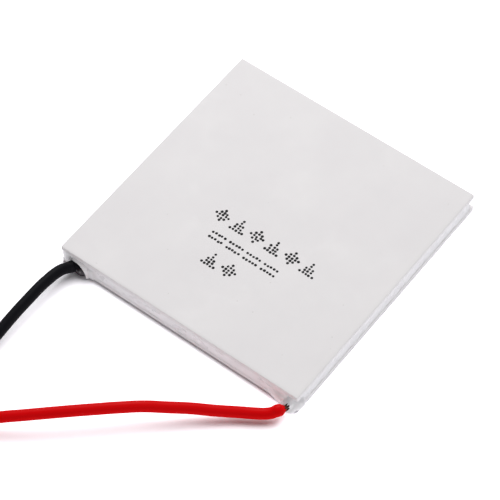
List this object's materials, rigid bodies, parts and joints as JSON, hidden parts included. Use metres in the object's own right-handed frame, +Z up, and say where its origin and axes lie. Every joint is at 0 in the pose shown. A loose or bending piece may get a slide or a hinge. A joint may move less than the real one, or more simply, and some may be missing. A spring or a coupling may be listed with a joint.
{
  "type": "thermoelectric generator module",
  "caption": "Square white ceramic thermoelectric generator module with a sealed edge, a field of semiconductor legs inside, and black and red leads that end in tinned tips.",
  "frame": {"origin": "middle of the cold face, the underside that lies on the bench", "axes": "+Z up, out of the hot face; the leads leave on the -Y side, negative at -X and positive at +X"},
  "size_m": [0.0606, 0.0899, 0.0039],
  "materials": {
    "ceramic": "matte",
    "copper": "satin",
    "n_telluride": "satin",
    "p_telluride": "satin",
    "silicone": "satin",
    "solder": "satin",
    "stranded_core": "satin",
    "black_sheath": "satin",
    "red_sheath": "satin",
    "tie": "satin"
  },
  "bodies": {
    "root": {"cold_plate": "ceramic", "hot_plate": "ceramic", "cold_bridges": "copper", "hot_bridges": "copper", "negative_terminal": "copper", "positive_terminal": "copper", "n_legs": "n_telluride", "p_legs": "p_telluride", "edge_seal": "silicone", "negative_solder": "solder", "positive_solder": "solder", "negative_core": "stranded_core", "positive_core": "stranded_core", "negative_lead": "black_sheath", "positive_lead": "red_sheath", "negative_coil": "black_sheath", "positive_coil": "red_sheath", "negative_free_end": "black_sheath", "positive_free_end": "red_sheath", "negative_tip": "stranded_core", "positive_tip": "stranded_core", "negative_tie": "tie", "positive_tie": "tie"}
  },
  "joints": []
}
